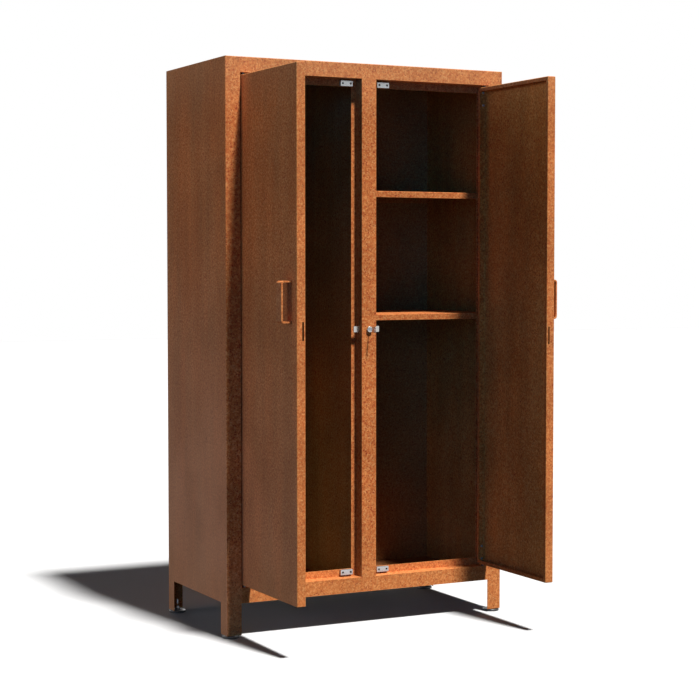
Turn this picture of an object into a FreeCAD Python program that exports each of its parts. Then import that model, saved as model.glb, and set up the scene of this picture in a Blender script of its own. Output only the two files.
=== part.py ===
import FreeCAD, Part
import os
import re
import Sketcher
from FreeCAD import Placement, Rotation, Vector

# A two-door garden cabinet of folded weathering-steel sheet on four levelling feet.
# Millimetres, +Z up, front towards -Y. The origin is on the ground at the centre of the
# four feet. Both doors stand open by restOpening, as photographed, and the lock's cam is out.

restOpening = 90

drivingSizes = {
    # carcass
    "bodyWidth": 1000,
    "bodyDepth": 500,
    "bodyHeight": 1800,
    "sheet": 1.5,
    "bendRadius": 2.5,
    "legHeight": 100,
    "legWidth": 50,
    # front frame: faces, returns and the stop lips behind the doors
    "railFace": 48,
    "postFace": 53,
    "frameDepth": 40,
    "stopLip": 24,
    "postLip": 18,
    "topFold": 6,
    # shelves of the right bay, measured up from the underside of the floor
    "upperShelfRise": 1298,
    "lowerShelfRise": 897,
    "shelfLip": 20,
    "shelfSetback": 10,
    # doors
    "doorThick": 28,
    "doorLip": 12,
    "hingeGap": 3.5,
    "lockGap": 3,
    "endGap": 8,
    # door pivots: the axis lies pivotInset from the hinge edge and from the door's face
    "pivotInset": 9.5,
    "pinRadius": 4,
    "pinReach": 4,
    "pinClear": 0.05,
    "pinHoleClear": 0.4,
    "collarRadius": 5.5,
    "collarPlay": 0.2,
    "pinHeadRadius": 6.5,
    "pinHead": 2,
    "bracketThick": 3,
    "bracketLength": 66,
    "bracketWidth": 18,
    "bracketFoot": 20,
    "bracketScrewRadius": 2.5,
    "bracketScrewHeadRadius": 4.5,
    "bracketScrewHead": 2.5,
    "nearScrew": 15,
    "farScrew": 57,
    # door handles
    "handleWidth": 36,
    "handleLength": 124.5,
    "handleReach": 33.5,
    "handleThick": 5,
    "handleBend": 9,
    "handleInset": 35,
    "handleRise": 98.75,
    # cam lock in the centre post, measured up from the lower edge of the door opening
    "lockRise": 802.5,
    "lockHeadRadius": 9.5,
    "lockHead": 7.5,
    "headChamfer": 0.6,
    "barrelRadius": 8,
    "barrelClear": 0.2,
    "plugRadius": 5.5,
    "plugClear": 0.05,
    "plugRecess": 0.3,
    "lockNutFlats": 24,
    "lockNutThick": 4,
    "camLength": 92,
    "camHeight": 19,
    "camThick": 3,
    "camDepth": 20,
    "camClear": 1.5,
    "camPlay": 0.5,
    "slotRest": 4.5,
    "tailSize": 7,
    "tailClear": 0.05,
    "camScrewRadius": 2,
    "camScrewReach": 6,
    "camScrewHeadRadius": 5.5,
    "camScrewHead": 3,
    "keyThick": 2,
    "keyBlade": 8,
    "keyClear": 0.1,
    "keyDepth": 18,
    "keyStem": 14,
    "bowLength": 26,
    "bowHeight": 20,
    "bowRound": 5,
    "bowHoleRadius": 3.5,
    # magnetic catches on the stop lips
    "catchWidth": 43,
    "catchHeight": 17,
    "catchEdge": 1,
    "catchRest": 0.5,
    "catchScrewSpacing": 28,
    "catchScrewRadius": 2,
    "catchScrewReach": 2,
    "catchScrewHeadRadius": 3.4,
    "catchScrewHead": 1.4,
    "catchScrewClear": 0.1,
    # levelling feet
    "footHeight": 9,
    "footInset": 22.5,
    "padRadius": 27,
    "padThick": 7.5,
    "padChamfer": 2,
    "hubRadius": 9,
    "hubRise": 5.5,
    "studRadius": 3,
    "studClear": 0.1,
    "studSeat": 3,
    "studReach": 16,
    "studChamfer": 0.8,
    "studFlats": 10,
    "studHexThick": 6,
    "plateRise": 15,
    "plateThick": 4,
}

# Places worked out from the driving sizes, as expressions over the sheet's names
front = "(-bodyDepth / 2)"
back = "(bodyDepth / 2)"
half = "(bodyWidth / 2)"
bodyBottom = "(footHeight + legHeight)"
bodyTop = "(footHeight + bodyHeight)"
openBottom = f"({bodyBottom} + railFace)"
openTop = f"({bodyTop} - railFace)"
stileInner = f"({half} - legWidth)"
lipFront = f"({front} + frameDepth)"
lipBack = f"({lipFront} + sheet)"
backInside = f"({back} - 2 * sheet)"
lockLevel = f"({openBottom} + lockRise)"
doorBottom = f"({openBottom} + endGap)"
doorHeight = f"({openTop} - {openBottom} - 2 * endGap)"
doorWidth = f"({stileInner} - postFace / 2 - hingeGap - lockGap)"
freeEdge = f"({doorWidth} - pivotInset)"
pivotX = f"({stileInner} - hingeGap - pivotInset)"
pivotY = f"({front} + pivotInset)"
footX = f"({half} - footInset)"
footY = f"({back} - footInset)"
plateBottom = "(footHeight + plateRise)"
hubTop = "(padThick + hubRise)"
plugTop = "(lockHead - plugRecess)"
camFront = "(camThick / 2 - camDepth)"
camBack = "(-camThick / 2 - camDepth)"
# the joint line over each stile, from the opening's corner to near the top of the side wall
mitreEnd = f"({half} - 2 * bendRadius)"
mitre = [
    (stileInner, openTop), (mitreEnd, f"{bodyTop} - sheet"),
    (mitreEnd, bodyTop), (stileInner, bodyTop),
]
# how far the cam's corner rises in the post's wall while it turns, and how far it lies below
camSweep = "(sqrt(camLength ^ 2 / 4 + camHeight ^ 2 / 4 - (postFace / 2 - sheet) ^ 2) + camClear)"
camRest = "(camHeight / 2 + slotRest)"

doc = FreeCAD.newDocument("GardenCabinet")
sizes = doc.addObject("Spreadsheet::Sheet", "Sizes")
for row, (alias, number) in enumerate(drivingSizes.items(), 1):
    sizes.set(f"A{row}", alias)
    sizes.set(f"B{row}", str(number))
    sizes.setAlias(f"B{row}", alias)
doc.recompute()

nodes = []


def ref(text):
    return re.sub(r"[A-Za-z]\w*", lambda word: word[0] if word[0] == "sqrt" else "Sizes." + word[0], text)


def value(text):
    return float(sizes.evalExpression(ref(text)))


def node(item, name):
    item.Label = name
    nodes.append(item)
    return item


def place(item, x="0", y="0", z="0", turn=None):
    item.Placement = Placement(Vector(), turn or Rotation())
    for axis, text in zip("xyz", (x, y, z)):
        item.setExpression(f"Placement.Base.{axis}", ref(text))
    return item


# Sketched bodies

def rectangle(u0, u1, v0, v1):
    return [(u0, v0), (u1, v0), (u1, v1), (u0, v1)]


def mirrored(side, corners):
    return [(f"{side} * ({u})", v) for u, v in corners]


def sketch(body, plane, loops=(), circles=(), offset="0"):
    item = body.newObject("Sketcher::SketchObject", "Outline")
    support = [feature for feature in body.Origin.OriginFeatures if feature.Role == plane][0]
    item.AttachmentSupport = [(support, "")]
    item.MapMode = "FlatFace"
    item.setExpression("AttachmentOffset.Base.z", ref(offset))

    def pin(geometry, position, place2d):
        for axis, text in zip("XY", place2d):
            rule = Sketcher.Constraint(f"Distance{axis}", -1, 1, geometry, position, value(text))
            index = item.addConstraint(rule)
            item.renameConstraint(index, f"g{geometry}{axis}")
            item.setExpression(f"Constraints.g{geometry}{axis}", ref(text))

    for corners in loops:
        points = [Vector(value(u), value(v), 0) for u, v in corners]
        first = item.GeometryCount
        count = len(points)
        for i in range(count):
            item.addGeometry(Part.LineSegment(points[i], points[(i + 1) % count]), False)
        for i in range(count):
            joint = Sketcher.Constraint("Coincident", first + i, 2, first + (i + 1) % count, 1)
            item.addConstraint(joint)
        for i in range(count):
            pin(first + i, 1, corners[i])
    for u, v, radius in circles:
        centre = Vector(value(u), value(v), 0)
        index = item.addGeometry(Part.Circle(centre, Vector(0, 0, 1), value(radius)), False)
        pin(index, 3, (u, v))
        rule = item.addConstraint(Sketcher.Constraint("Radius", index, value(radius)))
        item.renameConstraint(rule, f"g{index}R")
        item.setExpression(f"Constraints.g{index}R", ref(radius))
    return item


def pad(body, profile, length, reverse=False, centred=False):
    item = body.newObject("PartDesign::Pad", "Pad")
    item.Profile = profile
    item.setExpression("Length", ref(length))
    item.Reversed = reverse
    item.Midplane = centred
    doc.recompute()
    return item


def pocket(body, profile, length, reverse=False, centred=False):
    before = body.Shape.Volume
    item = body.newObject("PartDesign::Pocket", "Pocket")
    item.Profile = profile
    item.setExpression("Length", ref(length))
    item.Reversed = reverse
    item.Midplane = centred
    doc.recompute()
    if body.Shape.Volume > before - 1e-6:
        raise RuntimeError(f"{body.Label}: a pocket cuts nothing")
    return item


def revolve(body, corners):
    profile = sketch(body, "XZ_Plane", [corners])
    item = body.newObject("PartDesign::Revolution", "Revolution")
    item.Profile = profile
    item.ReferenceAxis = (profile, ["V_Axis"])
    item.Angle = 360
    doc.recompute()
    return item


def newBody(name):
    return node(doc.addObject("PartDesign::Body", name), name)


def fillet(body, radius, lines):
    """Rounds the straight edges that lie along the given lines, each (axis, first, second)."""
    base = body.Tip
    wanted = []
    for axis, a, b in lines:
        others = [i for i in range(3) if i != axis]
        target = (value(a), value(b))
        for number, edge in enumerate(base.Shape.Edges, 1):
            ends = [vertex.Point for vertex in edge.Vertexes]
            if len(ends) == 2 and abs(ends[0][axis] - ends[1][axis]) > 1e-6 and all(
                abs(end[other] - target[k]) < 1e-4 for end in ends for k, other in enumerate(others)
            ):
                wanted.append(f"Edge{number}")
    if not wanted:
        raise RuntimeError(f"{body.Label}: no edge to round")
    item = body.newObject("PartDesign::Fillet", "Fillet")
    item.Base = (base, sorted(set(wanted)))
    item.setExpression("Radius", ref(radius))
    doc.recompute()
    return item


# Solids from primitives

def block(spanX, spanY, spanZ):
    item = doc.addObject("Part::Box", "Block")
    for size, (low, high) in zip(("Length", "Width", "Height"), (spanX, spanY, spanZ)):
        item.setExpression(size, ref(f"{high} - ({low})"))
    return place(item, spanX[0], spanY[0], spanZ[0])


def rod(radius, start, length, turn=None):
    item = doc.addObject("Part::Cylinder", "Rod")
    item.setExpression("Radius", ref(radius))
    item.setExpression("Height", ref(length))
    return place(item, *start, turn=turn)


def hexagon(flats, start, thick):
    item = doc.addObject("Part::Prism", "Hexagon")
    item.Polygon = 6
    item.setExpression("Circumradius", ref(f"{flats} / sqrt(3)"))
    item.setExpression("Height", ref(thick))
    return place(item, *start)


def join(*pieces):
    item = doc.addObject("Part::MultiFuse", "Join")
    item.Shapes = list(pieces)
    return item


def cut(base, *tools):
    for tool in tools:
        item = doc.addObject("Part::Cut", "Cut")
        item.Base = base
        item.Tool = tool
        base = item
    return base


def group(name, pieces):
    item = doc.addObject("Part::Compound", name)
    item.Links = list(pieces)
    return node(item, name)


def span(side, low, high):
    return (low, high) if side > 0 else (f"-({high})", f"-({low})")


# Magnetic catches on the stop lips: where they and their screws lie
catchFace = f"({front} + doorThick + catchRest)"
catchMiddle = "(postFace / 2 + postLip + catchWidth / 2)"
intoLip = Rotation(Vector(1, 0, 0), -90)


def catchLevels(upper):
    if upper:
        low = f"({openTop} - stopLip + catchEdge)"
    else:
        low = f"({openBottom} + stopLip - catchEdge - catchHeight)"
    return low, f"({low} + catchHeight)"


def catchScrewPlaces(side, upper):
    low, high = catchLevels(upper)
    middle = f"(({low} + {high}) / 2)"
    return [(f"{side} * {catchMiddle} + {step} * catchScrewSpacing / 2", middle) for step in (-1, 1)]


# Carcass sheets

def sidePanel(name, side):
    """Side wall folded into the front stile with its stop lip, the back flange and both legs."""
    body = newBody(name)
    wall = [
        (stileInner, back), (half, back), (half, front), (stileInner, front),
        (stileInner, f"{front} + sheet"), (f"{half} - sheet", f"{front} + sheet"),
        (f"{half} - sheet", f"{back} - sheet"), (stileInner, f"{back} - sheet"),
    ]
    pad(body, sketch(body, "XY_Plane", [mirrored(side, wall)], offset="footHeight"), "bodyHeight")
    stop = [
        (f"{stileInner} + sheet", f"{front} + sheet"), (stileInner, f"{front} + sheet"),
        (stileInner, lipFront), (f"{stileInner} - stopLip", lipFront),
        (f"{stileInner} - stopLip", lipBack), (f"{stileInner} + sheet", lipBack),
    ]
    profile = sketch(body, "XY_Plane", [mirrored(side, stop)], offset=openBottom)
    pad(body, profile, f"{openTop} - {openBottom}")
    gap = rectangle(f"{front} + legWidth", f"{back} - legWidth", "0", bodyBottom)
    pocket(body, sketch(body, "YZ_Plane", [gap]), "2 * bodyWidth", centred=True)
    pocket(body, sketch(body, "XZ_Plane", [mirrored(side, mitre)], offset=back), "2 * sheet")
    fillet(body, "bendRadius", [(2, f"{side} * {half}", front), (2, f"{side} * {half}", back)])


def frontRail(name, inner, outer, inward):
    """Rail of the front frame; inward is +1 where the door opening lies above it."""
    body = newBody(name)
    section = [
        (front, inner), (front, outer), (f"{front} + sheet", outer),
        (f"{front} + sheet", f"{inner} - {inward} * sheet"),
        (lipBack, f"{inner} - {inward} * sheet"), (lipBack, inner),
    ]
    pad(body, sketch(body, "YZ_Plane", [section]), f"2 * {stileInner}", centred=True)
    lip = rectangle("postFace / 2 + postLip", f"{stileInner} - stopLip",
                    f"{inner} - {inward} * sheet", f"{inner} + {inward} * stopLip")
    profile = sketch(body, "XZ_Plane", [mirrored(-1, lip), lip], offset=f"-{lipFront}")
    pad(body, profile, "sheet", reverse=True)
    holes = [(f"{side} * {pivotX}", pivotY, "pinRadius") for side in (-1, 1)]
    pocket(body, sketch(body, "XY_Plane", circles=holes), f"3 * {bodyTop}", centred=True)
    screws = [(x, z, "catchScrewRadius") for side in (-1, 1) for x, z in catchScrewPlaces(side, inward < 0)]
    pocket(body, sketch(body, "XZ_Plane", circles=screws, offset=f"-{lipFront}"), "2 * sheet")
    return body


def topRail(name):
    """The upper rail runs out into mitres over both stiles and folds back under the roof's edge."""
    body = frontRail(name, openTop, bodyTop, -1)
    wings = [mirrored(side, mitre) for side in (-1, 1)]
    pad(body, sketch(body, "XZ_Plane", wings, offset=back), "sheet", reverse=True)
    fold = rectangle(f"-{mitreEnd}", mitreEnd, front, f"{front} + topFold")
    pad(body, sketch(body, "XY_Plane", [fold], offset=f"{bodyTop} - sheet"), "sheet")
    fillet(body, "bendRadius", [(0, front, bodyTop)])


def centrePost(name):
    """Channel between the door openings; its front face is level with the rails."""
    body = newBody(name)
    edge = "postFace / 2"
    wing = f"{edge} + postLip"
    section = [
        (f"-({wing})", lipBack), (f"-({wing})", lipFront), (f"-{edge}", lipFront), (f"-{edge}", front),
        (edge, front), (edge, lipFront), (wing, lipFront), (wing, lipBack),
        (f"{edge} - sheet", lipBack), (f"{edge} - sheet", f"{front} + sheet"),
        (f"sheet - {edge}", f"{front} + sheet"), (f"sheet - {edge}", lipBack),
    ]
    pad(body, sketch(body, "XY_Plane", [section], offset=openBottom), f"{openTop} - {openBottom}")
    for side in (-1, 1):
        slot = camSlot(side, f"{front} + camDepth", lockLevel)
        pocket(body, sketch(body, "YZ_Plane", [slot]), "postFace", reverse=side > 0)
    hole = [("0", lockLevel, "barrelRadius + barrelClear")]
    pocket(body, sketch(body, "XZ_Plane", circles=hole, offset=back), "2 * sheet")
    fillet(body, "bendRadius", [(2, edge, front), (2, f"-{edge}", front)])


def camSlot(side, depth, level):
    """The cam lifts its left end and drops its right end, so the slots are handed."""
    low, high = (camRest, camSweep) if side < 0 else (camSweep, camRest)
    reach = "(camThick / 2 + camClear)"
    return rectangle(f"{depth} - {reach}", f"{depth} + {reach}", f"{level} - {low}", f"{level} + {high}")


def roofPanel(name):
    """Sheet between the side walls, notched around the fold of the top rail."""
    body = newBody(name)
    edge = f"({half} - sheet)"
    top = [
        (f"-{edge}", f"{back} - sheet"), (f"-{edge}", f"{front} + sheet"),
        (f"-{mitreEnd}", f"{front} + sheet"), (f"-{mitreEnd}", f"{front} + topFold"),
        (mitreEnd, f"{front} + topFold"), (mitreEnd, f"{front} + sheet"),
        (edge, f"{front} + sheet"), (edge, f"{back} - sheet"),
    ]
    pad(body, sketch(body, "XY_Plane", [top], offset=f"{bodyTop} - sheet"), "sheet")


def dividerPanel(name):
    """Wall behind the post, its front edge folded over the right-hand stop lip of the post."""
    body = newBody(name)
    section = [
        ("-sheet / 2", lipBack), ("postFace / 2 + postLip", lipBack),
        ("postFace / 2 + postLip", f"{lipBack} + sheet"), ("sheet / 2", f"{lipBack} + sheet"),
        ("sheet / 2", backInside), ("-sheet / 2", backInside),
    ]
    profile = sketch(body, "XY_Plane", [section], offset=f"{bodyBottom} + sheet")
    pad(body, profile, f"{bodyTop} - {bodyBottom} - 2 * sheet")


def shelf(name, rise):
    """Sheet with a lip turned down along its front and back edges."""
    body = newBody(name)
    top = f"({bodyBottom} + {rise})"
    near = f"({lipBack} + shelfSetback)"
    section = [
        (near, f"{top} - shelfLip"), (near, top), (backInside, top), (backInside, f"{top} - shelfLip"),
        (f"{backInside} - sheet", f"{top} - shelfLip"), (f"{backInside} - sheet", f"{top} - sheet"),
        (f"{near} + sheet", f"{top} - sheet"), (f"{near} + sheet", f"{top} - shelfLip"),
    ]
    pad(body, sketch(body, "YZ_Plane", [section], offset="sheet / 2"), f"{half} - 1.5 * sheet")
    fillet(body, "bendRadius", [(0, near, top), (0, backInside, top)])


inside = (f"sheet - {half}", f"{half} - sheet")
sidePanel("left_side_panel", -1)
sidePanel("right_side_panel", 1)
frontRail("bottom_rail", openBottom, bodyBottom, 1)
topRail("top_rail")
centrePost("centre_post")
roofPanel("roof_panel")
node(block(inside, (f"{front} + sheet", backInside), (bodyBottom, f"{bodyBottom} + sheet")), "floor_panel")
node(block(inside, (backInside, f"{back} - sheet"), (bodyBottom, f"{bodyTop} - sheet")), "back_panel")
dividerPanel("divider_panel")
shelf("upper_shelf", "upperShelfRise")
shelf("lower_shelf", "lowerShelfRise")


# Levelling feet: a tapped corner plate in each leg, and a turning pad on a threaded stud with a hexagon

def footPlate(name, sideX, sideY):
    body = newBody(name)
    wall = f"{sideX} * ({half} - sheet)"
    flange = f"{sideY} * ({back} - sheet)"
    corners = [
        (wall, flange), (wall, f"{sideY} * ({back} - legWidth)"), (f"{sideX} * {stileInner}", flange),
    ]
    hole = [(f"{sideX} * {footX}", f"{sideY} * {footY}", "studRadius + studClear")]
    pad(body, sketch(body, "XY_Plane", [corners], hole, offset=plateBottom), "plateThick")


def footPad(name, sideX, sideY):
    body = newBody(name)
    revolve(body, [
        ("0", "0"), ("padRadius", "0"), ("padRadius", "padThick - padChamfer"),
        ("padRadius - padChamfer", "padThick"), ("hubRadius", "padThick"), ("hubRadius", hubTop),
        ("studRadius", hubTop), ("studRadius", "studSeat"), ("0", "studSeat"),
    ])
    place(body, f"{sideX} * {footX}", f"{sideY} * {footY}")


def footStud(name, sideX, sideY):
    body = newBody(name)
    top = f"({plateBottom} + plateThick + studReach)"
    revolve(body, [
        ("0", "studSeat"), ("studRadius", "studSeat"), ("studRadius", f"{top} - studChamfer"),
        ("studRadius - studChamfer", top), ("0", top),
    ])
    corner = "studFlats / sqrt(3)"
    flats = [
        (corner, "0"), (f"{corner} / 2", "studFlats / 2"), (f"-{corner} / 2", "studFlats / 2"),
        (f"-{corner}", "0"), (f"-{corner} / 2", "-studFlats / 2"), (f"{corner} / 2", "-studFlats / 2"),
    ]
    pad(body, sketch(body, "XY_Plane", [flats], offset=hubTop), "studHexThick")
    place(body, f"{sideX} * {footX}", f"{sideY} * {footY}")


feet = {
    "front_left": (-1, -1),
    "front_right": (1, -1),
    "back_left": (-1, 1),
    "back_right": (1, 1),
}
for corner, sides in feet.items():
    footPlate(f"{corner}_foot_plate", *sides)
    footPad(f"{corner}_foot_pad", *sides)
    footStud(f"{corner}_foot_stud", *sides)


# Doors: each piece is drawn closed about its pivot axis, then turned open with the door

def hang(item, hand):
    turn = Rotation(Vector(0, 0, 1), -hand * restOpening)
    return place(item, f"{-hand} * {pivotX}", pivotY, doorBottom, turn)


def door(name, hand):
    """Folded pan; hand is +1 for the left door, whose free edge lies towards +X when closed."""
    body = newBody(name)
    face = mirrored(hand, rectangle("-pivotInset", freeEdge, "0", doorHeight))

    def inset(depth):
        across = (f"{depth} - pivotInset", f"{freeEdge} - {depth}")
        return mirrored(hand, rectangle(*across, depth, f"{doorHeight} - {depth}"))

    pad(body, sketch(body, "XZ_Plane", [face], offset="pivotInset"), "sheet", reverse=True)
    wall = sketch(body, "XZ_Plane", [face, inset("sheet")], offset="pivotInset")
    pad(body, wall, "doorThick", reverse=True)
    lip = sketch(body, "XZ_Plane", [face, inset("doorLip")], offset="pivotInset + sheet - doorThick")
    pad(body, lip, "sheet", reverse=True)
    slot = camSlot(-hand, "camDepth - pivotInset", f"({lockLevel} - {doorBottom})")
    pocket(body, sketch(body, "YZ_Plane", [slot], offset=f"{hand} * {freeEdge}"), "4 * sheet", centred=True)
    hole = [("0", "0", "pinRadius + pinHoleClear")]
    pocket(body, sketch(body, "XY_Plane", circles=hole), f"3 * {doorHeight}", centred=True)
    screws = [(bracketCentre, level, "bracketScrewRadius") for level in screwLevels]
    flange = sketch(body, "YZ_Plane", circles=screws, offset=f"{-hand} * pivotInset")
    pocket(body, flange, "4 * sheet", centred=True)
    outer = "-pivotInset"
    inner = "doorThick - pivotInset"
    ends = (f"{-hand} * pivotInset", f"{hand} * {freeEdge}")
    upright = [(2, end, depth) for end in ends for depth in (outer, inner)]
    level = [(0, depth, height) for height in ("0", doorHeight) for depth in (outer, inner)]
    corners = [(1, end, height) for end in ends for height in ("0", doorHeight)]
    fillet(body, "bendRadius", upright + level + corners)
    hang(body, hand)


def handle(name, hand):
    """Flat strap bent to a U, standing on the door's face near the free edge."""
    body = newBody(name)
    foot = "-pivotInset"
    grip = "(-pivotInset - handleReach)"
    middle = f"({lockLevel} - {doorBottom} + handleRise)"
    low = f"({middle} - handleLength / 2)"
    high = f"({middle} + handleLength / 2)"
    under = f"({grip} + handleThick)"
    section = [
        (foot, high), (grip, high), (grip, low), (foot, low), (foot, f"{low} + handleThick"),
        (under, f"{low} + handleThick"), (under, f"{high} - handleThick"), (foot, f"{high} - handleThick"),
    ]
    across = f"{hand} * ({freeEdge} - handleInset - handleWidth / 2)"
    pad(body, sketch(body, "YZ_Plane", [section], offset=across), "handleWidth", centred=True)
    fillet(body, "handleBend", [(0, grip, low), (0, grip, high)])
    inner = [(0, under, f"{low} + handleThick"), (0, under, f"{high} - handleThick")]
    fillet(body, "handleBend - handleThick", inner)
    hang(body, hand)


# pivot brackets inside the pans: levels are measured up from the door's lower edge
bracketCentre = "(sheet - pivotInset + bracketWidth / 2)"
screwLevels = ("nearScrew", "farScrew", f"({doorHeight} - nearScrew)", f"({doorHeight} - farScrew)")
flangeInside = "(sheet - pivotInset)"
alongX = Rotation(Vector(0, 1, 0), 90)


def bracket(name, hand, upper):
    def rise(low, high):
        return (f"{doorHeight} - ({high})", f"{doorHeight} - ({low})") if upper else (low, high)

    depth = (flangeInside, f"{flangeInside} + bracketWidth")
    legSpan = span(hand, flangeInside, f"{flangeInside} + bracketThick")
    footSpan = span(hand, flangeInside, f"{flangeInside} + bracketFoot")
    leg = block(legSpan, depth, rise("sheet", "sheet + bracketLength"))
    foot = block(footSpan, depth, rise("sheet", "sheet + bracketThick"))
    bore = rod("pinRadius + pinClear", ("0", "0", rise("0", "4 * bracketThick")[0]), "4 * bracketThick")
    holes = []
    for level in screwLevels[2:] if upper else screwLevels[:2]:
        start = ("-2 * pivotInset", bracketCentre, level)
        holes.append(rod("bracketScrewRadius", start, "4 * pivotInset", alongX))
    hang(node(cut(join(leg, foot), bore, *holes), name), hand)


def bracketScrew(hand, level):
    """Shank flush with the hinge flange's outer face, head on the bracket inside the pan."""
    headFace = "(sheet + bracketThick - pivotInset)"
    shank = span(hand, "-pivotInset", headFace)
    head = span(hand, headFace, f"{headFace} + bracketScrewHead")
    return join(
        rod("bracketScrewRadius", (shank[0], bracketCentre, level), f"{shank[1]} - ({shank[0]})", alongX),
        rod("bracketScrewHeadRadius", (head[0], bracketCentre, level), "bracketScrewHead", alongX),
    )


def pivotPin(name, side, seat, inward):
    """Shouldered pin riveted into a rail; its collar carries the door clear of the rail."""
    body = newBody(name)
    collar = "(endGap - collarPlay)"
    tip = "(endGap + sheet + bracketThick + pinReach)"
    profile = [
        ("0", tip), ("pinRadius", tip), ("pinRadius", collar), ("collarRadius", collar),
        ("collarRadius", "0"), ("pinRadius", "0"), ("pinRadius", "-sheet"), ("pinHeadRadius", "-sheet"),
        ("pinHeadRadius", "-sheet - pinHead"), ("0", "-sheet - pinHead"),
    ]
    revolve(body, [(u, f"{inward} * ({v})") for u, v in profile])
    place(body, f"{side} * {pivotX}", pivotY, seat)


for side, hand in (("left", 1), ("right", -1)):
    door(f"{side}_door", hand)
    handle(f"{side}_handle", hand)
    bracket(f"{side}_upper_bracket", hand, True)
    bracket(f"{side}_lower_bracket", hand, False)
    hang(group(f"{side}_bracket_screws", [bracketScrew(hand, level) for level in screwLevels]), hand)
    pivotPin(f"{side}_upper_pin", -hand, openTop, -1)
    pivotPin(f"{side}_lower_pin", -hand, openBottom, 1)


# Cam lock: drawn along +Z towards the user from the post's face, then turned to face -Y
facing = Rotation(Vector(1, 0, 0), 90)


def fitLock(item):
    return place(item, "0", front, lockLevel, facing)


def centred(size, play="0"):
    return (f"-({size}) / 2 - {play}", f"({size}) / 2 + {play}")


def lockHousing(name):
    body = newBody(name)
    bore = "(plugRadius + plugClear)"
    tail = f"({camFront} + camPlay)"
    revolve(body, [
        (bore, tail), ("barrelRadius", tail), ("barrelRadius", "0"), ("lockHeadRadius", "0"),
        ("lockHeadRadius", "lockHead - headChamfer"), ("lockHeadRadius - headChamfer", "lockHead"),
        (bore, "lockHead"),
    ])
    fitLock(body)


def lockPlug(name):
    core = rod("plugRadius", ("0", "0", camFront), f"{plugTop} - {camFront}")
    tail = block(centred("tailSize"), centred("tailSize"), (camBack, camFront))
    keyway = block(centred("keyThick", "keyClear"), centred("keyBlade", "keyClear"),
                   (f"{plugTop} - keyDepth - keyClear", "lockHead"))
    thread = rod("camScrewRadius", ("0", "0", camBack), "camScrewReach")
    fitLock(node(cut(join(core, tail), keyway, thread), name))


def lockCam(name):
    bar = block(centred("camLength"), centred("camHeight"), (camBack, camFront))
    square = centred("tailSize", "tailClear")
    hole = block(square, square, (f"{camBack} - camThick", camFront))
    fitLock(node(cut(bar, hole), name))


def camScrew(name):
    head = rod("camScrewHeadRadius", ("0", "0", f"{camBack} - camScrewHead"), "camScrewHead")
    shank = rod("camScrewRadius", ("0", "0", camBack), "camScrewReach")
    fitLock(node(join(head, shank), name))


def lockNut(name):
    nut = hexagon("lockNutFlats", ("0", "0", "-sheet - lockNutThick"), "lockNutThick")
    fitLock(node(cut(nut, rod("barrelRadius", ("0", "0", "-2 * camDepth"), "4 * camDepth")), name))


def key(name):
    """Flat key: blade in the plug, a plain stem and a rounded bow with a ring hole."""
    body = newBody(name)
    blade = "(keyBlade / 2)"
    bow = "(bowHeight / 2)"
    tip = f"({plugTop} - keyDepth)"
    neck = "(lockHead + keyStem)"
    end = f"({neck} + bowLength)"
    shape = [
        (f"-{blade}", tip), (blade, tip), (blade, neck), (bow, neck), (bow, end),
        (f"-{bow}", end), (f"-{bow}", neck), (f"-{blade}", neck),
    ]
    hole = [("0", f"{end} - bowRound", "bowHoleRadius")]
    pad(body, sketch(body, "YZ_Plane", [shape], hole), "keyThick", centred=True)
    fillet(body, "bowRound", [(0, y, z) for y in (bow, f"-{bow}") for z in (neck, end)])
    fitLock(body)


lockHousing("lock_housing")
lockNut("lock_nut")
lockPlug("lock_plug")
lockCam("lock_cam")
camScrew("cam_screw")
key("key")


# Magnetic catches: plain blocks on the stop lips beside the post, held by recessed screws

def catch(name, side, upper):
    edge = "(postFace / 2 + postLip)"
    solid = block(span(side, edge, f"{edge} + catchWidth"), (catchFace, lipFront), catchLevels(upper))
    holes = []
    for x, z in catchScrewPlaces(side, upper):
        holes.append(rod("catchScrewRadius", (x, catchFace, z), "frameDepth", intoLip))
        seat = "catchScrewHead + catchScrewClear"
        holes.append(rod("catchScrewHeadRadius + catchScrewClear", (x, catchFace, z), seat, intoLip))
    node(cut(solid, *holes), name)


def catchScrew(x, z):
    """Screw through a catch into its lip; the head lies just below the catch's face."""
    headFace = f"({catchFace} + catchScrewClear)"
    reach = f"{lipBack} + catchScrewReach - {headFace}"
    return join(
        rod("catchScrewHeadRadius", (x, headFace, z), "catchScrewHead", intoLip),
        rod("catchScrewRadius", (x, headFace, z), reach, intoLip),
    )


catchScrews = []
for level, upper in (("upper", True), ("lower", False)):
    for side, sign in (("left", -1), ("right", 1)):
        catch(f"{level}_{side}_catch", sign, upper)
        catchScrews += [catchScrew(x, z) for x, z in catchScrewPlaces(sign, upper)]
group("catch_screws", catchScrews)


# Check every object, then write one file for each node
doc.recompute()
for item in doc.Objects:
    if {"Invalid", "Error"} & set(item.State):
        raise RuntimeError(f"{item.Label} failed: {item.State}")
for item in nodes:
    if item.Shape.isNull() or not item.Shape.isValid() or not item.Shape.Solids:
        raise RuntimeError(f"{item.Label} has no valid solid")

os.makedirs("parts", exist_ok=True)
for item in nodes:
    item.Shape.exportStep(f"parts/{item.Label}.step")
print(f"{len(nodes)} nodes, {sum(len(item.Shape.Solids) for item in nodes)} solids")
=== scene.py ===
import math

import bmesh
import bpy
from mathutils import Matrix, Vector


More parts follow.
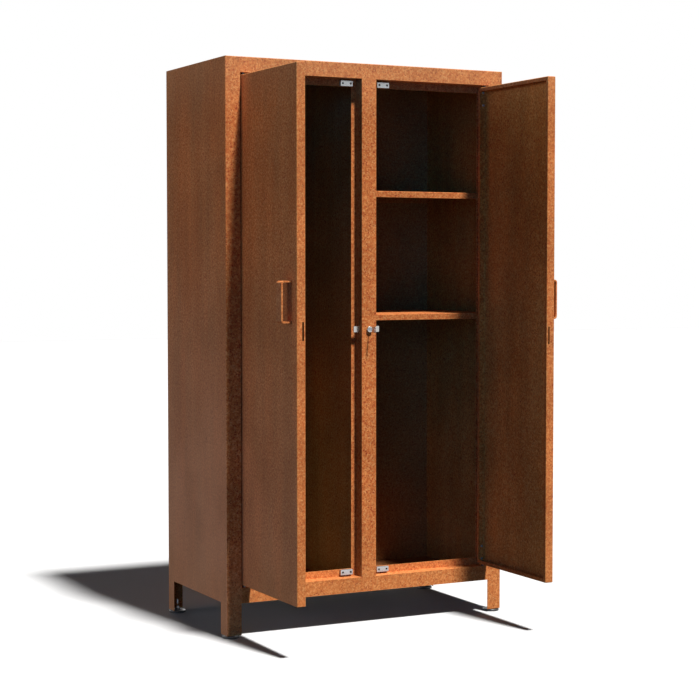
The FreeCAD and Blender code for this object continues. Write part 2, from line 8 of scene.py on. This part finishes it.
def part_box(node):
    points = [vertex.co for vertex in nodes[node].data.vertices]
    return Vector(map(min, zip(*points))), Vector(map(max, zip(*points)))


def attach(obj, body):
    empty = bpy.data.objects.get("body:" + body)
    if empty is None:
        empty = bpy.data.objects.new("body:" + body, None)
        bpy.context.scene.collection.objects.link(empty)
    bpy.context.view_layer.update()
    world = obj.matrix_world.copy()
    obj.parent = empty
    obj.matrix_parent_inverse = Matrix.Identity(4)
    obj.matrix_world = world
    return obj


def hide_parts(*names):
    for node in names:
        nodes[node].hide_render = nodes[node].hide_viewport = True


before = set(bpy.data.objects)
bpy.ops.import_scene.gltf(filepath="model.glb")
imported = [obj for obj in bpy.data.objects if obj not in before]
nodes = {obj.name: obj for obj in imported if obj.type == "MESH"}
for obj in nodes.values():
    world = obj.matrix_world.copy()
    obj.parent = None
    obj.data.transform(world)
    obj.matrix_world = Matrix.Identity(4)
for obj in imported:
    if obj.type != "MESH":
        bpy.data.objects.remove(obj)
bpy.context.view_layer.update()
scene = bpy.context.scene
scene.view_settings.view_transform = "Standard"


# node helpers: a given value is either a socket to link or a plain number or colour
def addNode(tree, kind, values=None, **settings):
    item = tree.nodes.new("ShaderNode" + kind)
    for name, setting in settings.items():
        setattr(item, name, setting)
    for socket, given in (values or {}).items():
        if isinstance(given, bpy.types.NodeSocket):
            tree.links.new(given, item.inputs[socket])
        else:
            item.inputs[socket].default_value = given
    return item


def calc(tree, operation, first, second=0.0):
    return addNode(tree, "Math", {0: first, 1: second}, operation=operation).outputs[0]


def spread(tree, source, low, high, toLow=0.0, toHigh=1.0):
    values = {"Value": source, "From Min": low, "From Max": high, "To Min": toLow, "To Max": toHigh}
    return addNode(tree, "MapRange", values, interpolation_type="SMOOTHSTEP").outputs[0]


def opaque(tone):
    return (*tone, 1.0)


def mixTone(tree, factor, first, second, blend="MIX"):
    values = {0: factor, 6: first, 7: second}
    return addNode(tree, "Mix", values, data_type="RGBA", blend_type=blend).outputs[2]


def toneRamp(tree, source, stops):
    item = addNode(tree, "ValToRGB", {"Fac": source})
    points = item.color_ramp.elements
    while len(points) < len(stops):
        points.new(1.0)
    for point, (place, tone) in zip(points, stops):
        point.position = place
        point.color = opaque(tone)
    return item.outputs["Color"]


def noise(tree, coords, scale, detail=2.0, roughness=0.5, stretch=None):
    if stretch:
        coords = addNode(tree, "Mapping", {"Vector": coords, "Scale": stretch}).outputs[0]
    values = {"Vector": coords, "Scale": scale, "Detail": detail, "Roughness": roughness}
    return addNode(tree, "TexNoise", values).outputs["Fac"]


def startMaterial(name):
    material = bpy.data.materials.new(name)
    material.use_nodes = True
    tree = material.node_tree
    tree.nodes.clear()
    return material, tree


def endMaterial(tree, values, height, bump):
    relief = addNode(tree, "Bump", {"Height": height, "Strength": bump[0], "Distance": bump[1]})
    shader = addNode(tree, "BsdfPrincipled", dict(values, Normal=relief.outputs[0]))
    addNode(tree, "OutputMaterial", {"Surface": shader.outputs[0]})


# weathering steel: colours are linear
# a noise is its features to the metre, detail, roughness and stretch
# a range is what goes in, low and high, and what comes out for each
rust = {
    "tones": (
        (0.34, (0.210, 0.046, 0.012)),
        (0.45, (0.420, 0.116, 0.029)),
        (0.54, (0.520, 0.162, 0.043)),
        (0.68, (0.720, 0.275, 0.088)),
    ),
    "mottle": (130, 5.0, 0.62),
    "mottleShare": 0.62,
    "grain": (380, 3.0, 0.6),
    "grainShare": 0.38,
    "fine": (900, 2.0),
    "fineShare": 0.35,
    "roughness": (0.3, 0.7, 0.90, 0.70),
    "specular": 0.14,
    "bump": (0.35, 0.0009),
    # patches a few millimetres wide lean to red or to tan
    "lean": (170, 3.0, 0.6),
    "red": (0.430, 0.085, 0.022),
    "redRange": (0.50, 0.28, 0.0, 0.75),
    "tan": (0.630, 0.282, 0.104),
    "tanRange": (0.50, 0.70, 0.0, 0.80),
    # small ragged specks, thicker in some patches than in others, and pale flecks
    "speck": (0.250, 0.030, 0.010),
    "speckScale": 150,
    "speckPatch": (40, 2.0),
    "speckSize": (0.35, 0.7, 0.26, 0.52),
    "speckCore": 0.55,
    "speckPick": (0.40, 0.75),
    "speckShare": 0.9,
    "speckDepth": 0.3,
    "raggedScale": 420,
    "raggedDetail": 3.0,
    "raggedReach": 0.0055,
    "pale": (0.820, 0.340, 0.105),
    "fleck": (150, 2.0),
    "fleckRange": (0.62, 0.72, 0.0, 0.5),
    # slow clouds everywhere, runs and a cooler veil down the upright side faces
    "cloud": (4.5, 3.0),
    "cloudShade": (0.3, 0.7, 0.88, 1.12),
    "sideways": (0.6, 0.95),
    "runs": (1.0, 3.0, 0.55, (16, 16, 1.6)),
    "runShade": (0.3, 0.7, -0.09, 0.09),
    "veil": (1.0, 3.0, 0.6, (6, 6, 1.4)),
    "veilRange": (0.38, 0.62),
    "veilTint": (0.91, 1.045, 1.18),
    # by height: rain pales the top, a painted sheen of floor light greys and pales the sides lower down,
    # and the foot is paler
    "washed": (0.760, 0.420, 0.210),
    "washedRange": (1.60, 1.82, 0.0, 0.16),
    "dustAndSheen": (0.860, 0.470, 0.300),
    "dustAndSheenRange": (1.45, 0.10, 0.0, 0.48),
    "sheenPatches": (0.3, 0.65, 0.75, 1.0),
    "outward": (0.40, 0.49),  # in full on the side walls, by half on the doors
    "paleFootRange": (0.40, 0.05, 0.0, 0.15),
    # folds and cut edges are painted brighter: partly rubbed wear, partly a painted highlight of light
    # catching the bend
    "edgeRadius": 0.0025,
    "edgeSamples": 4,
    "edgeRange": (0.995, 0.85),
    "edgeWear": (0.35, 0.6, 0.3, 1.0),
    "edgeWearAndHighlight": 0.60,
}

# painted shade and painted light: inside boxes given by two corners, tints darken, lighten or cool faces
# that lie in shade: the bays, the divider, the post walls, the door backs and the lower left stile
# each tint sets in between two heights, and leaves out what faces up
paintedShading = {
    "bays": ((-0.4992, -0.1920, 0.1098), (0.4992, 0.2473, 1.8082)),
    "dividerLeft": ((-0.0030, -0.1970, 0.1120), (-0.0002, 0.2460, 1.8060)),
    "rightBack": ((-0.0005, 0.2465, 0.1098), (0.4970, 0.2473, 1.8082)),
    "rightWall": ((0.4980, -0.1920, 0.1098), (0.4992, 0.2465, 1.8082)),
    "postWalls": ((-0.0275, -0.2485, 0.1570), (0.0275, -0.2105, 1.7610)),
    "leftDoorBack": ((-0.4463, -0.6475, 0.1655), (-0.4187, -0.2315, 1.7525)),
    "rightDoorBack": ((0.4187, -0.6475, 0.1655), (0.4463, -0.2315, 1.7525)),
    "leftStile": ((-0.5010, -0.2510, 0.0080), (-0.4480, -0.2475, 1.8000)),
    "innerFloor": ((-0.4992, -0.2100, 0.1050), (0.4992, 0.2473, 0.1150)),
    "upright": (0.4, 0.9, 1.0, 0.0),
    "tints": (
        ("bays", (0.74, 0.96, 1.10), (0.05, 0.10)),
        ("bays", (0.85, 1.05, 1.20), (0.75, 1.05)),
        ("dividerLeft", (1.05, 1.42, 1.56), (0.05, 0.10)),
        ("dividerLeft", (0.64, 0.90, 1.00), (1.00, 0.45)),
        ("rightBack", (0.78, 1.02, 1.22), (0.25, 0.50)),
        ("rightWall", (1.12, 1.28, 1.05), (0.05, 0.10)),
        ("rightWall", (0.90, 0.74, 0.60), (0.75, 1.05)),
        ("postWalls", (0.75, 1.08, 1.25), (0.05, 0.10)),
        ("leftDoorBack", (1.08, 1.32, 1.28), (0.05, 0.10)),
        ("rightDoorBack", (1.24, 1.58, 1.46), (0.05, 0.10)),
        ("rightDoorBack", (0.87, 0.79, 0.67), (0.95, 1.50)),
        ("leftStile", (1.06, 1.25, 1.42), (1.25, 0.75)),
        ("leftStile", (1.28, 1.20, 1.32), (0.35, 0.12)),
    ),
    "paintedFloorShade": (0.42, 0.45, 0.50),  # painted shade: the bays' floor is darker so that it bounces less red light
}


def rustSpecks(tree, coords, look):
    values = {"Vector": coords, "Scale": look["raggedScale"], "Detail": look["raggedDetail"]}
    ragged = addNode(tree, "TexNoise", values).outputs["Color"]
    values = {0: ragged, 1: (look["raggedReach"],) * 3, 2: coords}
    ragged = addNode(tree, "VectorMath", values, operation="MULTIPLY_ADD").outputs[0]
    values = {"Vector": ragged, "Scale": look["speckScale"], "Randomness": 1.0}
    cells = addNode(tree, "TexVoronoi", values)
    size = spread(tree, noise(tree, coords, *look["speckPatch"]), *look["speckSize"])
    core = calc(tree, "MULTIPLY", size, look["speckCore"])
    picked = spread(tree, cells.outputs["Color"], *look["speckPick"])
    return calc(tree, "MULTIPLY", spread(tree, cells.outputs["Distance"], size, core), picked)


def rustWeatherAndSheen(tree, coords, point, axes, tone, look):
    cloud = noise(tree, coords, *look["cloud"])
    sideways = spread(tree, calc(tree, "ABSOLUTE", axes[0]), *look["sideways"])
    runs = spread(tree, noise(tree, coords, *look["runs"]), *look["runShade"])
    shade = spread(tree, cloud, *look["cloudShade"])
    shade = calc(tree, "ADD", shade, calc(tree, "MULTIPLY", runs, sideways))
    tone = mixTone(tree, 1.0, tone, shade, "MULTIPLY")
    veil = spread(tree, noise(tree, coords, *look["veil"]), *look["veilRange"])
    veil = calc(tree, "MULTIPLY", veil, sideways)
    tone = mixTone(tree, veil, tone, opaque(look["veilTint"]), "MULTIPLY")

    washed = spread(tree, point[2], *look["washedRange"])
    tone = mixTone(tree, washed, tone, opaque(look["washed"]))
    # painted sheen: outward side faces are paled towards grey lower down, standing in for light reflected
    # from the floor
    outward = spread(tree, calc(tree, "MULTIPLY", axes[0], point[0]), *look["outward"])
    floorSheen = calc(tree, "MULTIPLY", spread(tree, point[2], *look["dustAndSheenRange"]), outward)
    floorSheen = calc(tree, "MULTIPLY", floorSheen, spread(tree, cloud, *look["sheenPatches"]))
    tone = mixTone(tree, floorSheen, tone, opaque(look["dustAndSheen"]))
    # the foot is painted paler
    paleFoot = spread(tree, point[2], *look["paleFootRange"])
    return mixTone(tree, paleFoot, tone, opaque(look["pale"]))


def withinBox(tree, point, box):
    inside = 1.0
    for axis, low, high in zip(point, *box):
        above = calc(tree, "GREATER_THAN", axis, low)
        below = calc(tree, "LESS_THAN", axis, high)
        inside = calc(tree, "MULTIPLY", calc(tree, "MULTIPLY", above, below), inside)
    return inside


# painted shade and painted light: each tint multiplies the tone inside its box
def rustPaintedShading(tree, point, axes, tone):
    upright = spread(tree, axes[2], *paintedShading["upright"])
    for place, tint, rise in paintedShading["tints"]:
        inside = calc(tree, "MULTIPLY", upright, spread(tree, point[2], *rise))
        inside = calc(tree, "MULTIPLY", inside, withinBox(tree, point, paintedShading[place]))
        tone = mixTone(tree, inside, tone, opaque(tint), "MULTIPLY")
    # painted shade: where the bays' floor faces up, it is darkened
    level = calc(tree, "SUBTRACT", withinBox(tree, point, paintedShading["innerFloor"]), upright)
    level = calc(tree, "MAXIMUM", level, 0.0)
    return mixTone(tree, level, tone, opaque(paintedShading["paintedFloorShade"]), "MULTIPLY")


# edges are brightened as rubbed wear and as a painted highlight
def rustEdgeWearAndHighlight(tree, mottle, tone, look):
    rounded = addNode(tree, "Bevel", {"Radius": look["edgeRadius"]}, samples=look["edgeSamples"])
    plain = addNode(tree, "NewGeometry")
    values = {0: rounded.outputs[0], 1: plain.outputs["Normal"]}
    along = addNode(tree, "VectorMath", values, operation="DOT_PRODUCT").outputs["Value"]
    edge = spread(tree, along, *look["edgeRange"])
    edge = calc(tree, "MULTIPLY", edge, spread(tree, mottle, *look["edgeWear"]))
    edge = calc(tree, "MULTIPLY", edge, look["edgeWearAndHighlight"])
    return mixTone(tree, edge, tone, opaque(look["pale"]))


def rustMaterial(name, look):
    material, tree = startMaterial(name)
    where = addNode(tree, "TexCoord")
    coords = where.outputs["Object"]
    point = addNode(tree, "SeparateXYZ", {0: coords}).outputs
    axes = addNode(tree, "SeparateXYZ", {0: where.outputs["Normal"]}).outputs
    mottle = noise(tree, coords, *look["mottle"])
    grain = noise(tree, coords, *look["grain"])
    blend = calc(tree, "ADD", calc(tree, "MULTIPLY", mottle, look["mottleShare"]),
                 calc(tree, "MULTIPLY", grain, look["grainShare"]))
    tone = toneRamp(tree, blend, look["tones"])

    lean = noise(tree, coords, *look["lean"])
    tone = mixTone(tree, spread(tree, lean, *look["redRange"]), tone, opaque(look["red"]))
    tone = mixTone(tree, spread(tree, lean, *look["tanRange"]), tone, opaque(look["tan"]))
    speck = rustSpecks(tree, coords, look)
    tone = mixTone(tree, calc(tree, "MULTIPLY", speck, look["speckShare"]), tone, opaque(look["speck"]))
    fleck = spread(tree, noise(tree, coords, *look["fleck"]), *look["fleckRange"])
    tone = mixTone(tree, fleck, tone, opaque(look["pale"]))
    # weathering, with a painted sheen of floor light low on the sides
    tone = rustWeatherAndSheen(tree, coords, point, axes, tone, look)
    # painted shade and painted light on the inside faces, the door backs and the left stile
    tone = rustPaintedShading(tree, point, axes, tone)
    # edges brighter: rubbed wear and a painted highlight
    tone = rustEdgeWearAndHighlight(tree, mottle, tone, look)

    rough = spread(tree, blend, *look["roughness"])
    fine = noise(tree, coords, *look["fine"])
    height = calc(tree, "ADD", blend, calc(tree, "MULTIPLY", fine, look["fineShare"]))
    height = calc(tree, "SUBTRACT", height, calc(tree, "MULTIPLY", speck, look["speckDepth"]))
    values = {"Base Color": tone, "Roughness": rough, "Specular IOR Level": look["specular"]}
    endMaterial(tree, values, height, look["bump"])
    return material


# bare metals: cells give the zinc its spangle, stretched noise gives the drawn and brushed marks
metalWear = {
    "markDetail": 4.0, "markRoughness": 0.6, "range": (0.25, 0.75), "soil": (120, 4.0, 0.65),
    "soilRange": (0.56, 0.72), "soilTone": (0.16, 0.12, 0.09), "soilRoughness": 0.3,
}


def metalMaterial(name, look):
    material, tree = startMaterial(name)
    coords = addNode(tree, "TexCoord").outputs["Object"]
    low, high = metalWear["range"]
    cells = addNode(tree, "TexVoronoi", {"Vector": coords, "Scale": look["cellScale"]})
    patch = addNode(tree, "SeparateColor", {0: cells.outputs["Color"]}).outputs[0]
    marks = noise(tree, coords, 1.0, metalWear["markDetail"], metalWear["markRoughness"], look["marks"])
    blend = calc(tree, "ADD", calc(tree, "MULTIPLY", patch, look["cellShare"]),
                 calc(tree, "MULTIPLY", marks, 1.0 - look["cellShare"]))
    tone = toneRamp(tree, blend, ((low, look["dark"]), (high, look["light"])))
    soil = spread(tree, noise(tree, coords, *metalWear["soil"]), *metalWear["soilRange"], 0.0, look["soil"])
    tone = mixTone(tree, soil, tone, opaque(metalWear["soilTone"]))
    rough = spread(tree, blend, low, high, *look["roughness"])
    rough = calc(tree, "ADD", rough, calc(tree, "MULTIPLY", soil, metalWear["soilRoughness"]))
    endMaterial(tree, {"Base Color": tone, "Metallic": 1.0, "Roughness": rough}, marks, look["bump"])
    return material


def plasticMaterial(name, look):
    material, tree = startMaterial(name)
    coords = addNode(tree, "TexCoord").outputs["Object"]
    grain = noise(tree, coords, *look["grain"])
    dustAndSheen = spread(tree, noise(tree, coords, *look["dustAndSheen"]), *look["dustAndSheenRange"])
    tone = mixTone(tree, dustAndSheen, opaque(look["body"]), opaque(look["dustTone"]))
    rough = spread(tree, grain, *look["roughness"])
    rough = calc(tree, "ADD", rough, calc(tree, "MULTIPLY", dustAndSheen, look["dustRoughness"]))
    endMaterial(tree, {"Base Color": tone, "Roughness": rough}, grain, look["bump"])
    return material


zinc = {
    "dark": (0.43, 0.45, 0.48), "light": (0.68, 0.70, 0.72), "cellScale": 260, "cellShare": 0.6,
    "marks": (220, 220, 60), "soil": 0.25, "roughness": (0.48, 0.30), "bump": (0.12, 0.0002),
}
dullZinc = {
    "dark": (0.13, 0.14, 0.16), "light": (0.25, 0.27, 0.30), "cellScale": 260, "cellShare": 0.6,
    "marks": (220, 220, 60), "soil": 0.30, "roughness": (0.60, 0.42), "bump": (0.12, 0.0002),
}
chrome = {
    "dark": (0.45, 0.44, 0.42), "light": (0.61, 0.60, 0.57), "cellScale": 400, "cellShare": 0.2,
    "marks": (900, 900, 900), "soil": 0.15, "roughness": (0.34, 0.18), "bump": (0.05, 0.0001),
}
aluminium = {
    "dark": (0.42, 0.44, 0.45), "light": (0.56, 0.58, 0.60), "cellScale": 500, "cellShare": 0.15,
    "marks": (60, 900, 1600), "soil": 0.10, "roughness": (0.55, 0.38), "bump": (0.15, 0.0002),
}
blackScrew = {
    "dark": (0.035, 0.033, 0.032), "light": (0.075, 0.070, 0.066), "cellScale": 700, "cellShare": 0.3,
    "marks": (900, 900, 900), "soil": 0.3, "roughness": (0.55, 0.40), "bump": (0.1, 0.0001),
}
footPlastic = {
    "body": (0.022, 0.022, 0.024), "grain": (1400, 2.0), "dustAndSheen": (90, 4.0, 0.65),
    "dustTone": (0.20, 0.16, 0.12), "dustAndSheenRange": (0.45, 0.75, 0.0, 0.25), "dustRoughness": 0.4,
    "roughness": (0.3, 0.7, 0.42, 0.28), "bump": (0.12, 0.0002),
}
steelSkin = rustMaterial("weatheringSteel", rust)
zincSkin = metalMaterial("zincSteel", zinc)
dullSkin = metalMaterial("dullZinc", dullZinc)
chromeSkin = metalMaterial("lockChrome", chrome)
aluminiumSkin = metalMaterial("catchAluminium", aluminium)
screwSkin = metalMaterial("blackScrew", blackScrew)
padSkin = plasticMaterial("footPlastic", footPlastic)
print("materials:", len(bpy.data.materials))


# every solid from the frame gets its finish, whole flat faces and slightly broken edges
edges = {
    "steel": 0.0005, "metal": 0.0003, "plastic": 0.0006, "segments": 2, "angle": 32,
    "weld": 0.00001, "flat": 0.5, "smooth": 40,
}


def finishFor(name):
    if name.endswith("pin"):
        return screwSkin, edges["metal"]
    if name.endswith(("stud", "screws")) or name in ("cam_screw", "lock_nut"):
        return zincSkin, edges["metal"]
    if name.endswith("pad"):
        return padSkin, edges["plastic"]
    if name.endswith("catch"):
        return aluminiumSkin, edges["metal"]
    if name.startswith("lock_") or name == "key":
        return chromeSkin, edges["metal"]
    return steelSkin, edges["steel"]


def breakEdges(piece, width):
    weld = piece.modifiers.new("weldSeams", "WELD")
    weld.merge_threshold = edges["weld"]
    flat = piece.modifiers.new("wholeFaces", "DECIMATE")
    flat.decimate_type = "DISSOLVE"
    flat.angle_limit = math.radians(edges["flat"])
    bevel = piece.modifiers.new("brokenEdges", "BEVEL")
    bevel.width = width
    bevel.segments = edges["segments"]
    bevel.limit_method = "ANGLE"
    bevel.angle_limit = math.radians(edges["angle"])
    bevel.loop_slide = False  # sliding folds slivers over at the screw holes
    bevel.harden_normals = True
    shading = piece.modifiers.new("evenShading", "WEIGHTED_NORMAL")
    shading.keep_sharp = True


for name, piece in nodes.items():
    skin, width = finishFor(name)
    piece.data.materials.clear()
    piece.data.materials.append(skin)
    breakEdges(piece, width)
print("frame dressed")


# small hardware is turned and cut here, where the solids are plain
def circle(shape, radius, level, around):
    ring = []
    for step in range(around):
        angle = 2 * math.pi * step / around
        ring.append(shape.verts.new((radius * math.cos(angle), radius * math.sin(angle), level)))
    return ring


def turned(profile, around):
    shape = bmesh.new()
    rings = []
    for radius, level in profile:
        if radius:
            rings.append(circle(shape, radius, level, around))
        else:
            rings.append([shape.verts.new((0.0, 0.0, level))])
    for lower, upper in zip(rings, rings[1:]):
        for step in range(around):
            a = lower[step % len(lower)]
            b = lower[(step + 1) % len(lower)]
            c = upper[(step + 1) % len(upper)]
            d = upper[step % len(upper)]
            corners = list(dict.fromkeys((a, b, c, d)))
            if len(corners) > 2:
                shape.faces.new(corners)
    bmesh.ops.recalc_face_normals(shape, faces=shape.faces)
    return shape


def toObject(shape, name):
    mesh = bpy.data.meshes.new(name)
    shape.to_mesh(mesh)
    shape.free()
    piece = bpy.data.objects.new(name, mesh)
    scene.collection.objects.link(piece)
    return piece


def carve(piece, tool, operation="DIFFERENCE"):
    cutter = piece.modifiers.new("carve", "BOOLEAN")
    cutter.operation = operation
    cutter.solver = "EXACT"
    cutter.object = tool
    bpy.context.view_layer.update()
    view = bpy.context.evaluated_depsgraph_get()
    mesh = bpy.data.meshes.new_from_object(piece.evaluated_get(view))
    piece.modifiers.clear()
    old = piece.data
    piece.data = mesh
    bpy.data.meshes.remove(old)
    bpy.data.objects.remove(tool)


def spreadOut(piece, places):
    mesh = piece.data
    shape = bmesh.new()
    for place in places:
        single = bmesh.new()
        single.from_mesh(mesh)
        single.transform(place)
        copy = bpy.data.meshes.new("copy")
        single.to_mesh(copy)
        single.free()
        shape.from_mesh(copy)
        bpy.data.meshes.remove(copy)
    shape.to_mesh(mesh)
    shape.free()


def smoothBy(piece, degrees):
    mesh = piece.data
    mesh.polygons.foreach_set("use_smooth", [True] * len(mesh.polygons))
    mesh.set_sharp_from_angle(angle=math.radians(degrees))


def fit(piece, skin, body, slot, *stoodFor):
    piece.data.materials.clear()
    piece.data.materials.append(skin)
    smoothBy(piece, edges["smooth"])
    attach(piece, body)
    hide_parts(*stoodFor)


# cross-head screws: the shape stands on z = 0 with its shank down, and the recess is cut from above
screws = {
    "catch": {
        "head": 0.0033, "thick": 0.0014, "crown": 0.0003, "shank": 0.0019, "reach": 0.0121,
        "apart": 0.014, "seat": 0.0015, "turns": (23, 35),
    },
    "bracket": {
        "head": 0.0045, "thick": 0.0025, "crown": 0.0009, "shank": 0.0025, "reach": 0.0044,
        "apart": 0.042, "turn": 31,
    },
    "recess": {"arm": 0.0010, "span": 0.0040, "deep": 0.0010, "taper": 0.62, "over": 0.001},
    "around": 40,
    "crownRings": 6,
    "crownShare": 0.92,
    "rim": ((0.96, 1.05), (1.0, 1.5)),  # shares of the head's radius, and of the crown below its top
    "tip": 0.0004,
}


def crossScrew(name, kind):
    size = screws[kind]
    head, thick, crown = size["head"], size["thick"], size["crown"]
    shank, reach, tip = size["shank"], size["reach"], screws["tip"]
    profile = [(0.0, thick)]
    for step in range(1, screws["crownRings"]):
        share = step / screws["crownRings"]
        profile.append((head * screws["crownShare"] * share, thick - crown * share ** 2))
    for wide, below in screws["rim"]:
        profile.append((head * wide, thick - crown * below))
    profile += [(head, 0.0), (shank, 0.0), (shank, -reach + tip), (shank - tip, -reach), (0.0, -reach)]
    piece = toObject(turned(profile, screws["around"]), name)
    recess = screws["recess"]
    for turn in (0, 90):
        shape = bmesh.new()
        bmesh.ops.create_cube(shape, size=1.0)
        for vert in shape.verts:
            taper = 1.0 if vert.co.z > 0 else recess["taper"]
            vert.co.x *= recess["span"] * taper
            vert.co.y *= recess["arm"] * taper
            vert.co.z = thick + recess["over"] if vert.co.z > 0 else thick - recess["deep"]
        shape.transform(Matrix.Rotation(math.radians(turn), 4, "Z"))
        carve(piece, toObject(shape, "recessTool"))
    return piece


def facingFront(place, roll):
    turn = Vector((0, -1, 0)).to_track_quat("Z", "Y").to_matrix().to_4x4()
    return Matrix.Translation(place) @ turn @ Matrix.Rotation(math.radians(roll), 4, "Z")


def catchScrews():
    size = screws["catch"]
    turn, lean = size["turns"]
    places = []
    for number, name in enumerate(n for n in nodes if n.endswith("_catch")):
        low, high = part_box(name)
        middle = (low + high) / 2
        for side in (-1, 1):
            point = (middle.x + side * size["apart"], low.y + size["seat"], middle.z)
            places.append(facingFront(point, turn * number + lean * side))
    piece = crossScrew("catch_screw_set", "catch")
    spreadOut(piece, places)
    fit(piece, screwSkin, "cabinet", "zinc_steel", "catch_screws")


def bracketScrews(side):
    name = side + "_bracket_screws"
    low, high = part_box(name)
    size = screws["bracket"]
    bottom, top = low.z + size["head"], high.z - size["head"]
    levels = (bottom, bottom + size["apart"], top - size["apart"], top)
    places = []
    for number, level in enumerate(levels):
        point = ((low.x + high.x) / 2, low.y + size["thick"], level)
        places.append(facingFront(point, size["turn"] * number))
    piece = crossScrew(side + "_bracket_screw_set", "bracket")
    spreadOut(piece, places)
    fit(piece, dullSkin, side + "_door", "zinc_steel", name)


catchScrews()
bracketScrews("left")
bracketScrews("right")
print("screws set")


# levelling feet: a rolled thread on each stud and a chamfered hexagon over the pad
feet = {
    "radius": 0.003, "pitch": 0.001, "depth": 0.00055, "around": 30, "perTurn": 8, "chamfer": 0.0008,
    "flank": (2.6, 0.7),  # slope of the thread's flanks and where they start
    "flats": 0.010, "hexLow": 0.013, "hexHigh": 0.019, "hexAround": 48, "hexLean": 0.8, "over": 0.001,
}


def studThread(low, high):
    radius, chamfer, around = feet["radius"], feet["chamfer"], feet["around"]
    slope, start = feet["flank"]
    rows = int((high - low) / feet["pitch"] * feet["perTurn"])
    shape = bmesh.new()
    rings = []
    for row in range(rows + 1):
        level = low + (high - low) * row / rows
        limit = radius - chamfer + min(chamfer, high - level, level - low)
        ring = []
        for step in range(around):
            angle = 2 * math.pi * step / around
            phase = (level / feet["pitch"] - step / around) % 1.0
            flank = min(1.0, max(0.0, abs(phase - 0.5) * slope - start))
            reach = min(limit, radius - feet["depth"] * (1.0 - flank))
            ring.append(shape.verts.new((reach * math.cos(angle), reach * math.sin(angle), level)))
        rings.append(ring)
    for lower, upper in zip(rings, rings[1:]):
        for step in range(around):
            after = (step + 1) % around
            shape.faces.new((lower[step], lower[after], upper[after], upper[step]))
    shape.faces.new(list(reversed(rings[0])))
    shape.faces.new(rings[-1])
    return shape


def threadedStud(corner):
    name = corner + "_foot_stud"
    low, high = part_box(name)
    under, over = feet["hexLow"], feet["hexHigh"]
    half = feet["flats"] / 2
    outer = feet["flats"] / math.sqrt(3)
    lean = (outer - half) * feet["hexLean"]
    blank = [
        (0.0, under), (half, under), (outer, under + lean),
        (outer, over - lean), (half, over), (0.0, over),
    ]
    piece = toObject(turned(blank, feet["hexAround"]), corner + "_threaded_stud")
    under, over = under - feet["over"], over + feet["over"]
    prism = [(0.0, under), (outer, under), (outer, over), (0.0, over)]
    carve(piece, toObject(turned(prism, 6), "flatsTool"), "INTERSECT")
    carve(piece, toObject(studThread(low.z, high.z), "threadTool"), "UNION")
    spreadOut(piece, [Matrix.Translation(((low.x + high.x) / 2, (low.y + high.y) / 2, 0.0))])
    fit(piece, zincSkin, corner + "_foot", "zinc_steel", name)


for corner in ("front_left", "front_right", "back_left", "back_right"):
    threadedStud(corner)
print("feet threaded")


# floor, light and camera
stage = {"floorSize": 40.0, "seen": 0.60, "bounce": 0.04}


def backgroundRays(tree):
    rays = addNode(tree, "LightPath")
    seen = calc(tree, "MAXIMUM", rays.outputs["Is Camera Ray"], rays.outputs["Is Glossy Ray"])
    return calc(tree, "MAXIMUM", seen, rays.outputs["Is Transmission Ray"])


def paleFloor():
    half = stage["floorSize"] / 2
    mesh = bpy.data.meshes.new("paleFloor")
    corners = [(-half, -half, 0), (half, -half, 0), (half, half, 0), (-half, half, 0)]
    mesh.from_pydata(corners, [], [(0, 1, 2, 3)])
    floor = bpy.data.objects.new("paleFloor", mesh)
    scene.collection.objects.link(floor)
    material, tree = startMaterial("paleFloor")
    bounce = addNode(tree, "BsdfDiffuse", {"Color": opaque((stage["bounce"],) * 3)})
    seen = addNode(tree, "BsdfDiffuse", {"Color": opaque((stage["seen"],) * 3)})
    values = {0: backgroundRays(tree), 1: bounce.outputs[0], 2: seen.outputs[0]}
    shader = addNode(tree, "MixShader", values)
    addNode(tree, "OutputMaterial", {"Surface": shader.outputs[0]})
    mesh.materials.append(material)


lamps = {
    "key": {"towards": (0.20, -1.0, 1.98), "strength": 6.6, "spread": 5.2, "tone": (1.0, 0.995, 0.985)},
    "side": {"towards": (-1.0, 0.10, 0.06), "strength": 0.72, "spread": 34, "tone": (1.0, 0.95, 0.98)},
    "front": {"towards": (-0.8, -1.0, 0.01), "strength": 0.58, "spread": 40, "tone": (0.06, 0.42, 1.0)},
    "back": {"towards": (0.15, 1.0, 0.05), "strength": 0.75, "spread": 30, "tone": (1.0, 0.97, 0.95)},
}


def hangLamp(name, settings):
    light = bpy.data.lights.new(name + "Lamp", "SUN")
    light.energy = settings["strength"]
    light.color = settings["tone"]
    light.angle = math.radians(settings["spread"])
    holder = bpy.data.objects.new(name + "Lamp", light)
    holder.rotation_euler = Vector(settings["towards"]).to_track_quat("Z", "Y").to_euler()
    scene.collection.objects.link(holder)


sky = {"ambient": (0.021, 0.0205, 0.0165), "seen": (1.0, 1.0, 1.0)}


def softWorld():
    world = bpy.data.worlds.new("softWorld")
    scene.world = world
    world.use_nodes = True
    tree = world.node_tree
    tree.nodes.clear()
    ambient = addNode(tree, "Background", {"Color": opaque(sky["ambient"]), "Strength": 1.0})
    white = addNode(tree, "Background", {"Color": opaque(sky["seen"]), "Strength": 1.0})
    values = {0: backgroundRays(tree), 1: ambient.outputs[0], 2: white.outputs[0]}
    shader = addNode(tree, "MixShader", values)
    addNode(tree, "OutputWorld", {"Surface": shader.outputs[0]})


viewer = {
    "place": (-2.61733, -5.21967, 1.16822), "pitch": -2.793, "turn": -27.128, "lens": 89.82, "sensor": 36.0,
}


def photoCamera():
    data = bpy.data.cameras.new("photoCamera")
    data.lens = viewer["lens"]
    data.sensor_width = viewer["sensor"]
    holder = bpy.data.objects.new("photoCamera", data)
    holder.location = viewer["place"]
    holder.rotation_euler = (math.radians(90 + viewer["pitch"]), 0.0, math.radians(viewer["turn"]))
    scene.collection.objects.link(holder)
    scene.camera = holder


paleFloor()
for name, settings in lamps.items():
    hangLamp(name, settings)
softWorld()
photoCamera()
print("stage set")
